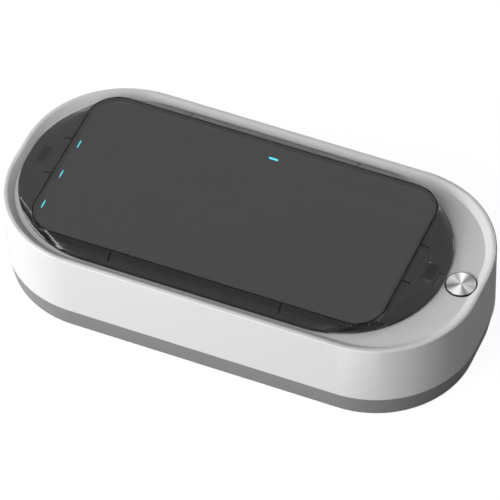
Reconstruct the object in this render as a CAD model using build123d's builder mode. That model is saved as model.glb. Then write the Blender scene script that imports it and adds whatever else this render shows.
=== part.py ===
"""Ultraviolet sanitizer box for a phone, with a tinted lift-off lid and a charging floor.

Millimetres, +Z up. The origin is on the surface that the box stands on, under the middle of the
body. The long side runs along X, and the start button is at the +X end. The lid lies on the deck,
held by a pair of magnets at each end, and lifts straight up.
"""
import os
from math import atan, degrees

from build123d import *

# Body: a long plan with near-round ends, a white band over a tapered base.
body_length = 222.0
body_width = 110.0
body_end_flat = 15.6
foot_stand = 1.0
base_height = 13.0
band_height = 32.0
base_taper = 2.3
base_round = 3.0
base_floor = 2.2
shell_wall = 2.4
tongue_wall = 1.2
tongue_height = 2.0
lip_radius = 0.6
lip_crest = 1.4
crest_edge = 0.2
dish_depth = 2.0
dish_slope = 3.1
deck_thickness = 2.2

# Lid: a flat window in a sloping skirt, nearer to the -X end than the middle of the body.
side_margin = 5.5
left_margin = 5.0
button_margin = 18.2
lid_end_flat = 5.0
lid_rise = 3.0
rim_height = 1.2
rim_face = 1.6
rim_edge = 0.4
side_skirt = 6.1
end_skirt = 15.8
window_corner = 14.0
window_thickness = 2.0
ledge_width = 2.0
ledge_thickness = 0.8
collar_wall = 1.5
collar_corner = 22.0
seal_width = 0.5
tick_length = 4.2
tick_depth = 0.4
tick_spacing_x = 80.8
tick_spacing_y = 22.4
grip_y = -3.5
grip_inset = 2.2
grip_length = 10.0
grip_width = 1.4
grip_depth = 0.6

# Chamber: a dark moulded tub whose flange sits under the deck.
chamber_end_ledge = 0.8
chamber_side_ledge = 0.6
chamber_corner = 20.0
chamber_depth = 19.8
chamber_fillet = 2.0
tray_wall = 1.6
tray_floor = 2.0
tray_bottom_edge = 1.2
flange_thickness = 1.2
flange_width = 1.5
mat_end_margin = 9.5
mat_side_margin = 6.0
mat_corner = 12.0
mat_thickness = 0.8
mat_groove_radius = 22.0
mat_groove_width = 1.0
mat_groove_depth = 0.3

# Ultraviolet lamps: slot windows in the tub's walls, with a lamp and a board behind each.
lamp_depth = 10.3
lamp_end_margin = 4.4
slot_length = 4.8
slot_height = 1.5
slot_recess = 0.1
lamp_size = 3.5
lamp_height = 1.2
lamp_board_height = 5.4
lamp_board_thickness = 1.0
end_board_margin = 16.0
side_board_length = 30.0
rail_width = 3.0
rail_root = 0.8

# Magnets: one pair at each end, in the lid and in the deck.
magnet_length = 4.0
magnet_width = 9.0
magnet_thickness = 1.5
magnet_inset = 6.8
magnet_lift = 0.2
magnet_wall = 1.2

# Start button: a spun metal cap on a stem, over a tactile switch.
button_inset = 10.5
cap_radius = 6.8
cap_proud = 0.7
cap_thickness = 2.3
cap_bevel = 0.5
button_travel = 0.8
bezel_width = 0.4
bezel_height = 1.5
bezel_proud = 0.1
well_wall = 2.1
well_depth = 7.0
well_floor_thickness = 2.0
plate_radius = 6.5
plate_thickness = 1.2
stem_radius = 2.5
stem_length = 8.0
clip_radius = 3.4
clip_thickness = 0.7
clip_groove = 0.4
clip_mouth = 3.0
spring_radius = 4.2
spring_wire = 0.5
spring_turns = 2.5
spring_wire_sides = 6
switch_size = 6.0
switch_height = 3.5
plunger_radius = 1.6
plunger_length = 2.2

# Circuit boards and what stands on them.
board_thickness = 1.6
board_corner = 2.0
board_hole_radius = 1.1
control_board_length = 22.0
control_board_width = 32.0
control_board_shift = 5.5
control_post_span_x = 13.0
control_post_span_y = 25.0
control_post_radius = 2.6
sensor_length = 3.0
sensor_width = 4.0
sensor_height = 1.5
sensor_margin = 3.0
charger_board_length = 62.0
charger_board_width = 38.0
charger_board_inset = 6.0
charger_board_stand = 2.8
charger_post_inset = 4.0
charger_post_radius = 2.6
chip_size = 6.0
chip_height = 0.9
chip_x = 9.0
inductor_size = 8.0
inductor_height = 4.0
inductor_round = 1.5
inductor_x = -16.0

# Charging coil and its ferrite plate, under the chamber's floor.
coil_inner_radius = 10.0
coil_outer_radius = 21.5
coil_thickness = 1.4
coil_groove_count = 2
coil_groove_width = 0.3
coil_groove_depth = 0.3
coil_rib_wall = 1.2
ferrite_radius = 23.0
ferrite_thickness = 0.8

# Power inlet: a small oval socket in the rear of the base.
inlet_x = 0.0
inlet_width = 8.94
inlet_height = 3.26
inlet_depth = 7.3
inlet_wall = 0.3
inlet_back = 1.0
inlet_setback = 0.6
inlet_tongue_width = 6.7
inlet_tongue_height = 0.7
inlet_tongue_depth = 4.6

# Fasteners and feet.
screw_radius = 1.2
screw_head_radius = 2.6
screw_head_height = 1.8
screw_head_inset = 2.2
screw_length = 20.0
screw_pass_radius = 1.5
shell_post_radius = 3.5
base_post_radius = 4.2
left_post_inset_x = 11.5
left_post_inset_y = 35.0
right_post_inset_x = 21.0
right_post_inset_y = 23.0
tray_post_radius = 3.0
tray_post_span_x = 110.0
tray_post_span_y = 60.0
small_screw_radius = 0.9
small_head_radius = 1.8
small_head_height = 1.2
small_screw_length = 4.2
foot_inset_x = 39.0
foot_inset_y = 21.0
foot_radius = 5.8
foot_recess = 1.0
foot_dish = 0.3
foot_dish_radius = 3.8

# Clearances between pieces.
fit = 0.15
close_fit = 0.05
slide_fit = 0.1
moving_gap = 0.3
post_gap = 0.1
overcut = 1.0
pick = 0.01
bevel_angle = 45.0

# Levels and places worked out from the sizes above.
base_z = foot_stand
seam_z = base_z + base_height
lip_z = seam_z + band_height
deck_z = lip_z - dish_depth
deck_under_z = deck_z - deck_thickness
base_inside_z = base_z + base_floor
tongue_inset = shell_wall + fit
lip_inset = lip_radius + lip_crest

body_corner = (body_width - body_end_flat) / 2
body_end = body_length / 2
body_side = body_width / 2

lid_length = body_length - left_margin - button_margin
lid_width = body_width - 2 * side_margin
lid_corner = (lid_width - lid_end_flat) / 2
lid_x = (left_margin - button_margin) / 2
lid_top_z = lip_z + lid_rise
rim_z = deck_z + moving_gap
rim_top_z = rim_z + rim_height
window_z = lid_top_z - window_thickness
ledge_z = window_z - ledge_thickness
skirt_fall = lid_top_z - rim_top_z
grip_rise = skirt_fall * grip_inset / end_skirt
window_length = lid_length - 2 * end_skirt
window_width = lid_width - 2 * side_skirt

chamber_length = window_length + 2 * chamber_end_ledge
chamber_width = window_width + 2 * chamber_side_ledge
chamber_floor_z = deck_z - chamber_depth
tray_under_z = chamber_floor_z - tray_floor
lamp_z = lip_z - lamp_depth
lamp_pitch = chamber_width / 2 - chamber_corner - lamp_end_margin
lamp_board_gap = slot_recess + lamp_height
coil_z = tray_under_z - coil_thickness
end_board_length = chamber_width - 2 * end_board_margin
mat_length = chamber_length - 2 * mat_end_margin
mat_width = chamber_width - 2 * mat_side_margin

deck_magnet_z = deck_z - magnet_thickness
lid_magnet_z = rim_z + magnet_lift
magnet_reach = lid_length / 2 - magnet_inset
magnet_xs = {"left": lid_x - magnet_reach, "right": lid_x + magnet_reach}

button_x = body_end - button_inset
well_radius = cap_radius + slide_fit
well_floor_z = deck_z - well_depth
well_under_z = well_floor_z - well_floor_thickness
bezel_top_z = deck_z + bezel_proud
bezel_z = bezel_top_z - bezel_height
cap_top_z = deck_z + cap_proud
cap_z = cap_top_z - cap_thickness
plate_z = cap_z - plate_thickness
stem_tip_z = plate_z - stem_length
clip_z = well_under_z - moving_gap - clip_thickness
plunger_z = stem_tip_z - plunger_length
plunger_proud = button_travel + moving_gap
switch_top_z = stem_tip_z - plunger_proud
switch_z = switch_top_z - switch_height
switch_well_depth = plunger_length - plunger_proud + button_travel + moving_gap
control_board_z = switch_z - board_thickness
control_board_x = button_x - control_board_shift
sensor_x = control_board_x - control_board_length / 2 + sensor_margin

charger_board_z = base_inside_z + charger_board_stand
charger_board_y = body_side - charger_board_inset - charger_board_width / 2
charger_top_z = charger_board_z + board_thickness
inlet_z = charger_top_z + inlet_height / 2
screw_head_z = base_z + screw_head_inset
screw_head_top_z = screw_head_z + screw_head_height
post_split_z = seam_z + tongue_height

from_below = (Align.CENTER, Align.CENTER, Align.MIN)
from_top = (Align.CENTER, Align.CENTER, Align.MAX)
shell_posts = [
    (left_post_inset_x - body_end, body_side - left_post_inset_y),
    (body_end - right_post_inset_x, body_side - right_post_inset_y),
]
shell_posts += [(x, -y) for x, y in shell_posts]


def corners(x, y, span_x, span_y):
    """Four places at the corners of a rectangle around a point."""
    return [(x + sx * span_x / 2, y + sy * span_y / 2) for sx in (-1, 1) for sy in (-1, 1)]


tray_posts = corners(lid_x, 0, tray_post_span_x, tray_post_span_y)
feet = corners(0, 0, body_length - 2 * foot_inset_x, body_width - 2 * foot_inset_y)
control_posts = corners(control_board_x, 0, control_post_span_x, control_post_span_y)
charger_posts = corners(
    inlet_x,
    charger_board_y,
    charger_board_length - 2 * charger_post_inset,
    charger_board_width - 2 * charger_post_inset,
)

os.makedirs("parts", exist_ok=True)


def save(name, builder):
    """Label a finished piece and write it."""
    builder.part.label = name
    export_step(builder.part, f"parts/{name}.step")


def at_height(places, z):
    """The same plan places at one height."""
    return Locations(*[(x, y, z) for x, y in places])


def body_outline(inset, mode=Mode.ADD):
    """Plan of the body, drawn inside it by a distance."""
    RectangleRounded(body_length - 2 * inset, body_width - 2 * inset, body_corner - inset, mode=mode)


def rim_outline(inset, mode=Mode.ADD):
    """Plan of the lid's rim, drawn inside it by a distance."""
    with Locations((lid_x, 0)):
        RectangleRounded(lid_length - 2 * inset, lid_width - 2 * inset, lid_corner - inset, mode=mode)


def crease_outline(inset, mode=Mode.ADD):
    """Plan of the crease where the lid's flat window meets its skirt."""
    width = window_width - 2 * inset
    with Locations((lid_x, 0)):
        RectangleRounded(window_length - 2 * inset, width, window_corner - inset, mode=mode)


def chamber_outline(inset, mode=Mode.ADD):
    """Plan of the chamber's inner wall, drawn inside it by a distance."""
    width = chamber_width - 2 * inset
    with Locations((lid_x, 0)):
        RectangleRounded(chamber_length - 2 * inset, width, chamber_corner - inset, mode=mode)


def base_inset(z):
    """How far the tapered base's outer face lies inside the seam at a height."""
    return base_taper * (seam_z - z) / base_height


# Each chamber wall's plane lies on the wall's inner face at lamp height, facing outwards.
end_lamps = [(-lamp_pitch, 0), (0, 0), (lamp_pitch, 0)]
side_lamps = [(0, 0)]
half_length = chamber_length / 2
half_width = chamber_width / 2
left_wall = Plane(origin=(lid_x - half_length, 0, lamp_z), x_dir=(0, -1, 0), z_dir=(-1, 0, 0))
right_wall = Plane(origin=(lid_x + half_length, 0, lamp_z), x_dir=(0, 1, 0), z_dir=(1, 0, 0))
front_wall = Plane(origin=(lid_x, -half_width, lamp_z), x_dir=(1, 0, 0), z_dir=(0, -1, 0))
rear_wall = Plane(origin=(lid_x, half_width, lamp_z), x_dir=(-1, 0, 0), z_dir=(0, 1, 0))
lamp_walls = {
    "left": (left_wall, end_lamps, end_board_length),
    "right": (right_wall, end_lamps, end_board_length),
    "front": (front_wall, side_lamps, side_board_length),
    "rear": (rear_wall, side_lamps, side_board_length),
}


# Upper shell: the white band, the flat lip and the sunk deck that the lid lies on.
with BuildPart() as upper_shell:
    with BuildSketch(Plane.XY.offset(seam_z)):
        body_outline(0)
    extrude(amount=band_height)
    with BuildSketch(Plane.XY.offset(lip_z)):
        body_outline(lip_inset)
    extrude(amount=-dish_depth, taper=degrees(atan(dish_slope / dish_depth)), mode=Mode.SUBTRACT)
    crest = upper_shell.faces().sort_by(Axis.Z)[-1]
    chamfer(crest.inner_wires()[0].edges(), crest_edge)
    crest = upper_shell.faces().sort_by(Axis.Z)[-1]
    fillet(crest.outer_wire().edges(), lip_radius)
    with BuildSketch(Plane.XY.offset(seam_z)):
        body_outline(shell_wall)
    extrude(amount=deck_under_z - seam_z, mode=Mode.SUBTRACT)
    with BuildSketch(Plane.XY.offset(deck_under_z)):
        chamber_outline(-tray_wall - fit)
    extrude(amount=deck_thickness, mode=Mode.SUBTRACT)
    # The button's well hangs under the deck.
    with Locations((button_x, 0, well_under_z)):
        Cylinder(well_radius + well_wall, deck_under_z - well_under_z, align=from_below)
    with Locations((button_x, 0, well_floor_z)):
        Cylinder(well_radius, lip_z - well_floor_z, align=from_below, mode=Mode.SUBTRACT)
    with Locations((button_x, 0, bezel_z)):
        Cylinder(
            well_radius + bezel_width + close_fit, lip_z - bezel_z, align=from_below, mode=Mode.SUBTRACT
        )
    with Locations((button_x, 0, well_under_z)):
        Cylinder(stem_radius + slide_fit, well_floor_thickness, align=from_below, mode=Mode.SUBTRACT)
    # Posts for the screws that close the body and for the control board.
    with at_height(shell_posts, post_split_z):
        Cylinder(shell_post_radius, deck_under_z - post_split_z, align=from_below)
    with at_height(shell_posts, post_split_z):
        Cylinder(
            screw_radius + close_fit,
            screw_head_top_z + screw_length + overcut - post_split_z,
            align=from_below,
            mode=Mode.SUBTRACT,
        )
    with at_height(control_posts, switch_z):
        Cylinder(control_post_radius, deck_under_z - switch_z, align=from_below)
    with at_height(control_posts, switch_z):
        Cylinder(small_screw_radius + close_fit, small_screw_length, align=from_below, mode=Mode.SUBTRACT)
    with at_height([(x, 0) for x in magnet_xs.values()], deck_magnet_z):
        Box(
            magnet_length + 2 * close_fit,
            magnet_width + 2 * close_fit,
            magnet_thickness,
            align=from_below,
            mode=Mode.SUBTRACT,
        )
save("upper_shell", upper_shell)

# Base: a tapered grey pan with a tongue that locates the band.
with BuildPart() as base_shell:
    with BuildSketch(Plane.XY.offset(seam_z)):
        body_outline(0)
    extrude(amount=-base_height, taper=degrees(atan(base_taper / base_height)))
    fillet(base_shell.edges().group_by(Axis.Z)[0], base_round)
    with BuildSketch(Plane.XY.offset(seam_z)):
        body_outline(tongue_inset)
    extrude(amount=tongue_height)
    with BuildSketch(Plane.XY.offset(base_inside_z)):
        body_outline(base_inset(base_inside_z) + shell_wall)
    with BuildSketch(Plane.XY.offset(post_split_z)):
        body_outline(tongue_inset + tongue_wall)
    loft(ruled=True, mode=Mode.SUBTRACT)
    with at_height(shell_posts, base_inside_z):
        Cylinder(base_post_radius, post_split_z - post_gap - base_inside_z, align=from_below)
    with at_height(shell_posts, base_z):
        Cylinder(screw_head_radius + fit, screw_head_top_z - base_z, align=from_below, mode=Mode.SUBTRACT)
    with at_height(shell_posts, screw_head_top_z):
        Cylinder(screw_pass_radius, post_split_z - screw_head_top_z, align=from_below, mode=Mode.SUBTRACT)
    with at_height(tray_posts, base_inside_z):
        Cylinder(tray_post_radius, tray_under_z - base_inside_z, align=from_below)
    with at_height(charger_posts, base_inside_z):
        Cylinder(charger_post_radius, charger_board_stand, align=from_below)
    with at_height(charger_posts, charger_board_z):
        Cylinder(
            small_screw_radius + close_fit,
            small_screw_length - board_thickness + fit,
            align=from_top,
            mode=Mode.SUBTRACT,
        )
    with at_height(feet, base_z):
        Cylinder(foot_radius + fit, foot_recess, align=from_below, mode=Mode.SUBTRACT)
    with BuildSketch(Plane.XZ.offset(-body_side)):
        with Locations((inlet_x, inlet_z)):
            SlotOverall(inlet_width + 2 * fit, inlet_height + 2 * fit)
    extrude(amount=shell_wall + fit + tongue_wall + overcut, mode=Mode.SUBTRACT)
save("base_shell", base_shell)

# Feet: soft pads in round recesses, with a shallow dish below.
with BuildPart() as rubber_feet:
    with at_height(feet, 0):
        Cylinder(foot_radius, foot_stand + foot_recess, align=from_below)
    with at_height(feet, 0):
        Cylinder(foot_dish_radius, foot_dish, align=from_below, mode=Mode.SUBTRACT)
save("rubber_feet", rubber_feet)

with BuildPart() as shell_screws:
    with at_height(shell_posts, screw_head_z):
        Cylinder(screw_head_radius, screw_head_height, align=from_below)
    with at_height(shell_posts, screw_head_top_z):
        Cylinder(screw_radius, screw_length, align=from_below)
save("shell_screws", shell_screws)

# Chamber tub: polished walls, lamp slots, rails for the lamp boards and a rib round the coil.
with BuildPart() as chamber_tray:
    with BuildSketch(Plane.XY.offset(tray_under_z)):
        chamber_outline(-tray_wall)
    extrude(amount=deck_z - tray_under_z)
    chamfer(chamber_tray.edges().group_by(Axis.Z)[0], tray_bottom_edge)
    with BuildSketch(Plane.XY.offset(deck_under_z)):
        chamber_outline(-tray_wall - flange_width)
    extrude(amount=-flange_thickness)
    with BuildSketch(Plane.XY.offset(chamber_floor_z)):
        chamber_outline(0)
    extrude(amount=chamber_depth, mode=Mode.SUBTRACT)
    inner_foot = chamber_tray.edges().filter_by_position(
        Axis.Z, chamber_floor_z - pick, chamber_floor_z + pick
    )
    fillet(inner_foot, chamber_fillet)
    for wall, stations, board_length in lamp_walls.values():
        with BuildSketch(wall):
            with Locations(*stations):
                SlotOverall(slot_length, slot_height)
        extrude(amount=tray_wall, mode=Mode.SUBTRACT)
        rail_x = (board_length - rail_width) / 2
        with BuildSketch(wall.offset(tray_wall - rail_root)):
            with Locations((-rail_x, 0), (rail_x, 0)):
                Rectangle(rail_width, lamp_board_height)
        extrude(amount=rail_root + lamp_board_gap)
    with BuildSketch(Plane.XY.offset(tray_under_z)):
        with Locations((lid_x, 0)):
            Circle(coil_outer_radius + fit + coil_rib_wall)
            Circle(coil_outer_radius + fit, mode=Mode.SUBTRACT)
    extrude(amount=-coil_thickness)
save("chamber_tray", chamber_tray)

with BuildPart() as charging_mat:
    with BuildSketch(Plane.XY.offset(chamber_floor_z)):
        with Locations((lid_x, 0)):
            RectangleRounded(mat_length, mat_width, mat_corner)
    extrude(amount=mat_thickness)
    with BuildSketch(Plane.XY.offset(chamber_floor_z + mat_thickness)):
        with Locations((lid_x, 0)):
            Circle(mat_groove_radius + mat_groove_width)
            Circle(mat_groove_radius, mode=Mode.SUBTRACT)
    extrude(amount=-mat_groove_depth, mode=Mode.SUBTRACT)
save("charging_mat", charging_mat)

# Lamps, wall by wall: clear slot windows, lamp packages and the boards that carry them.
for side, (wall, stations, board_length) in lamp_walls.items():
    with BuildPart() as lamp_windows:
        with BuildSketch(wall.offset(slot_recess)):
            with Locations(*stations):
                SlotOverall(slot_length - 2 * slide_fit, slot_height - 2 * slide_fit)
        extrude(amount=tray_wall - slot_recess)
    save(f"lamp_windows_{side}", lamp_windows)

    with BuildPart() as lamps:
        with BuildSketch(wall.offset(tray_wall + slot_recess)):
            with Locations(*stations):
                Rectangle(lamp_size, lamp_size)
        extrude(amount=lamp_height)
    save(f"uv_lamps_{side}", lamps)

    with BuildPart() as lamp_board:
        with BuildSketch(wall.offset(tray_wall + lamp_board_gap)):
            Rectangle(board_length, lamp_board_height)
        extrude(amount=lamp_board_thickness)
    save(f"lamp_board_{side}", lamp_board)

# Charging coil: a flat winding with turned grooves, glued under the chamber's floor.
with BuildPart() as charging_coil:
    with BuildSketch(Plane.XY.offset(coil_z)):
        with Locations((lid_x, 0)):
            Circle(coil_outer_radius)
            Circle(coil_inner_radius, mode=Mode.SUBTRACT)
    extrude(amount=coil_thickness)
    turn = (coil_outer_radius - coil_inner_radius) / (coil_groove_count + 1)
    with BuildSketch(Plane.XY.offset(coil_z)):
        with Locations((lid_x, 0)):
            for groove in range(coil_groove_count, 0, -1):
                Circle(coil_inner_radius + groove * turn + coil_groove_width / 2)
                Circle(coil_inner_radius + groove * turn - coil_groove_width / 2, mode=Mode.SUBTRACT)
    extrude(amount=coil_groove_depth, mode=Mode.SUBTRACT)
save("charging_coil", charging_coil)

with BuildPart() as ferrite_plate:
    with Locations((lid_x, 0, coil_z - ferrite_thickness)):
        Cylinder(ferrite_radius, ferrite_thickness, align=from_below)
save("ferrite_plate", ferrite_plate)

# Charger board on the base's posts, with the power inlet at its rear edge.
with BuildPart() as charger_board:
    with BuildSketch(Plane.XY.offset(charger_board_z)):
        with Locations((inlet_x, charger_board_y)):
            RectangleRounded(charger_board_length, charger_board_width, board_corner)
        with Locations(*charger_posts):
            Circle(board_hole_radius, mode=Mode.SUBTRACT)
    extrude(amount=board_thickness)
save("charger_board", charger_board)

with BuildPart() as charger_chip:
    with Locations((chip_x, charger_board_y, charger_top_z)):
        Box(chip_size, chip_size, chip_height, align=from_below)
save("charger_chip", charger_chip)

with BuildPart() as power_inductor:
    with BuildSketch(Plane.XY.offset(charger_top_z)):
        with Locations((inductor_x, charger_board_y)):
            RectangleRounded(inductor_size, inductor_size, inductor_round)
    extrude(amount=inductor_height)
save("power_inductor", power_inductor)

inlet_mouth_y = body_side - base_inset(inlet_z) - inlet_setback
with BuildPart() as usb_socket:
    with BuildSketch(Plane.XZ.offset(-inlet_mouth_y)):
        with Locations((inlet_x, inlet_z)):
            SlotOverall(inlet_width, inlet_height)
    extrude(amount=inlet_depth)
    with BuildSketch(Plane.XZ.offset(-inlet_mouth_y)):
        with Locations((inlet_x, inlet_z)):
            SlotOverall(inlet_width - 2 * inlet_wall, inlet_height - 2 * inlet_wall)
    extrude(amount=inlet_depth - inlet_back, mode=Mode.SUBTRACT)
save("usb_socket", usb_socket)

with BuildPart() as usb_tongue:
    with BuildSketch(Plane.XZ.offset(inlet_depth - inlet_back - inlet_mouth_y)):
        with Locations((inlet_x, inlet_z)):
            Rectangle(inlet_tongue_width, inlet_tongue_height)
    extrude(amount=-inlet_tongue_depth)
save("usb_tongue", usb_tongue)

# Control board, hung from the deck, with the switch and the lid sensor.
with BuildPart() as control_board:
    with BuildSketch(Plane.XY.offset(control_board_z)):
        with Locations((control_board_x, 0)):
            RectangleRounded(control_board_length, control_board_width, board_corner)
        with Locations(*control_posts):
            Circle(board_hole_radius, mode=Mode.SUBTRACT)
    extrude(amount=board_thickness)
save("control_board", control_board)

with BuildPart() as tact_switch:
    with Locations((button_x, 0, switch_z)):
        Box(switch_size, switch_size, switch_height, align=from_below)
    with Locations((button_x, 0, switch_top_z)):
        Cylinder(plunger_radius + slide_fit, switch_well_depth, align=from_top, mode=Mode.SUBTRACT)
save("tact_switch", tact_switch)

with BuildPart() as lid_sensor:
    with Locations((sensor_x, 0, switch_z)):
        Box(sensor_length, sensor_width, sensor_height, align=from_below)
save("lid_sensor", lid_sensor)

with BuildPart() as board_screws:
    with at_height(control_posts, control_board_z):
        Cylinder(small_head_radius, small_head_height, align=from_top)
    with at_height(control_posts, control_board_z):
        Cylinder(small_screw_radius, small_screw_length, align=from_below)
    with at_height(charger_posts, charger_top_z):
        Cylinder(small_head_radius, small_head_height, align=from_below)
    with at_height(charger_posts, charger_top_z):
        Cylinder(small_screw_radius, small_screw_length, align=from_top)
save("board_screws", board_screws)

# Start button: cap, stem, clip, spring and the switch's plunger move together.
with BuildPart() as button_bezel:
    with BuildSketch(Plane.XY.offset(bezel_z)):
        with Locations((button_x, 0)):
            Circle(well_radius + bezel_width)
            Circle(well_radius, mode=Mode.SUBTRACT)
    extrude(amount=bezel_height)
save("button_bezel", button_bezel)

with BuildPart() as button_cap:
    with Locations((button_x, 0, cap_z)):
        Cylinder(cap_radius, cap_thickness, align=from_below)
    chamfer(button_cap.edges().group_by(Axis.Z)[-1], cap_bevel)
save("button_cap", button_cap)

with BuildPart() as button_stem:
    with Locations((button_x, 0, plate_z)):
        Cylinder(plate_radius, plate_thickness, align=from_below)
    with Locations((button_x, 0, stem_tip_z)):
        Cylinder(stem_radius, stem_length, align=from_below)
    with BuildSketch(Plane.XY.offset(clip_z)):
        with Locations((button_x, 0)):
            Circle(stem_radius)
            Circle(stem_radius - clip_groove, mode=Mode.SUBTRACT)
    extrude(amount=clip_thickness, mode=Mode.SUBTRACT)
save("button_stem", button_stem)

with BuildPart() as button_clip:
    with BuildSketch(Plane.XY.offset(clip_z)):
        with Locations((button_x, 0)):
            Circle(clip_radius)
            Circle(stem_radius - clip_groove + close_fit, mode=Mode.SUBTRACT)
        with Locations((button_x + clip_radius, 0)):
            Rectangle(2 * clip_radius, clip_mouth, mode=Mode.SUBTRACT)
    extrude(amount=clip_thickness)
save("button_clip", button_clip)

spring_height = plate_z - well_floor_z
spring_pitch = (spring_height - spring_wire) / spring_turns
with BuildPart() as button_spring:
    with BuildLine(Plane(origin=(button_x, 0, well_floor_z + spring_wire / 2))) as coil_path:
        Helix(spring_pitch, spring_height - spring_wire, spring_radius)
    with BuildSketch(coil_path.line ^ 0):
        RegularPolygon(spring_wire / 2, spring_wire_sides)
    sweep(path=coil_path.line, is_frenet=True)
save("button_spring", button_spring)

with BuildPart() as switch_plunger:
    with Locations((button_x, 0, plunger_z)):
        Cylinder(plunger_radius, plunger_length, align=from_below)
save("switch_plunger", switch_plunger)

# Magnets.
for side, x in magnet_xs.items():
    with BuildPart() as deck_magnet:
        with Locations((x, 0, deck_magnet_z)):
            Box(magnet_length, magnet_width, magnet_thickness, align=from_below)
    save(f"deck_magnet_{side}", deck_magnet)

    with BuildPart() as lid_magnet:
        with Locations((x, 0, lid_magnet_z)):
            Box(magnet_length, magnet_width, magnet_thickness, align=from_below)
    save(f"lid_magnet_{side}", lid_magnet)


def tick_profile(start, skirt_width, depth):
    """Side view of a tick that runs down the skirt from the crease."""
    fall = tick_length * skirt_fall / skirt_width
    Polygon(
        (start - seal_width, lid_top_z),
        (start, lid_top_z),
        (start + tick_length, lid_top_z - fall),
        (start + tick_length, lid_top_z - fall - depth),
        (start, lid_top_z - depth),
        (start - seal_width, lid_top_z - depth),
        align=None,
    )


tick_xs = (lid_x - tick_spacing_x / 2, lid_x + tick_spacing_x / 2)
tick_ys = (-tick_spacing_y / 2, tick_spacing_y / 2)


def ticks(width, mode):
    """Eight short ticks across the skirt, two on each side of the lid."""
    for x in tick_xs:
        with BuildSketch(Plane.YZ.offset(x)) as side_ticks:
            tick_profile(window_width / 2, side_skirt, tick_depth)
            mirror(about=Plane.YZ)
        extrude(side_ticks.sketch, amount=width / 2, both=True, mode=mode)
    for y in tick_ys:
        with BuildSketch(Plane(origin=(lid_x, y, 0), x_dir=(1, 0, 0), z_dir=(0, -1, 0))) as end_ticks:
            tick_profile(window_length / 2, end_skirt, tick_depth)
            mirror(about=Plane.YZ)
        extrude(end_ticks.sketch, amount=width / 2, both=True, mode=mode)


# Lid skirt: slopes from the window's crease to the rim, hollow below, open over the chamber.
with BuildPart() as lid_frame:
    with BuildSketch(Plane.XY.offset(rim_z)):
        rim_outline(0)
    extrude(amount=rim_height - rim_edge)
    with BuildSketch(Plane.XY.offset(rim_top_z - rim_edge)):
        rim_outline(0)
    extrude(amount=rim_edge, taper=bevel_angle)
    with BuildSketch(Plane.XY.offset(rim_top_z)):
        rim_outline(rim_edge)
    with BuildSketch(Plane.XY.offset(lid_top_z)):
        crease_outline(0)
    loft(ruled=True)
    with BuildSketch(Plane.XY.offset(rim_z)):
        rim_outline(rim_face)
    with BuildSketch(Plane.XY.offset(ledge_z)):
        with Locations((lid_x, 0)):
            RectangleRounded(window_length + 2 * collar_wall, window_width + 2 * collar_wall, collar_corner)
    loft(ruled=True, mode=Mode.SUBTRACT)
    with BuildSketch(Plane.XY.offset(ledge_z)):
        crease_outline(ledge_width)
    extrude(amount=ledge_thickness, mode=Mode.SUBTRACT)
    with BuildSketch(Plane.XY.offset(window_z)):
        crease_outline(0)
    extrude(amount=window_thickness, mode=Mode.SUBTRACT)
    # Housings for the lid's magnets.
    with at_height([(x, 0) for x in magnet_xs.values()], rim_z):
        Box(
            magnet_length + 2 * magnet_wall,
            magnet_width + 2 * magnet_wall,
            magnet_lift + magnet_thickness + close_fit,
            align=from_below,
        )
    with at_height([(x, 0) for x in magnet_xs.values()], rim_z):
        Box(
            magnet_length + 2 * close_fit,
            magnet_width + 2 * close_fit,
            magnet_lift + magnet_thickness,
            align=from_below,
            mode=Mode.SUBTRACT,
        )
    # Finger groove along the rim beside the button.
    with BuildSketch(Plane.XY.offset(rim_top_z + grip_rise - grip_depth)):
        with Locations((lid_x + lid_length / 2 - grip_inset, grip_y)):
            SlotOverall(grip_length, grip_width, rotation=90)
    extrude(amount=grip_depth + skirt_fall, mode=Mode.SUBTRACT)
    ticks(seal_width + 2 * close_fit, Mode.SUBTRACT)
save("lid_frame", lid_frame)

with BuildPart() as window_seal:
    with BuildSketch(Plane.XY.offset(window_z)):
        crease_outline(0)
        crease_outline(seal_width, mode=Mode.SUBTRACT)
    extrude(amount=window_thickness)
    ticks(seal_width, Mode.ADD)
save("window_seal", window_seal)

with BuildPart() as lid_window:
    with BuildSketch(Plane.XY.offset(window_z)):
        crease_outline(seal_width)
    extrude(amount=window_thickness)
save("lid_window", lid_window)
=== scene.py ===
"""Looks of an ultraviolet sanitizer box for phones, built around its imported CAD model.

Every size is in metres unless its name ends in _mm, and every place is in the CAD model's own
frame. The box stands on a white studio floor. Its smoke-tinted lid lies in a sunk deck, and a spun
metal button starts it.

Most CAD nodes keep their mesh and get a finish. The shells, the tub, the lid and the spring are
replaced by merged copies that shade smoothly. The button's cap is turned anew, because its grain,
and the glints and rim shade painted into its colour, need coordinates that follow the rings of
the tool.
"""
import logging
import math
from dataclasses import dataclass
from enum import Enum
from typing import Any

import bpy
from mathutils import Matrix, Vector


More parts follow.
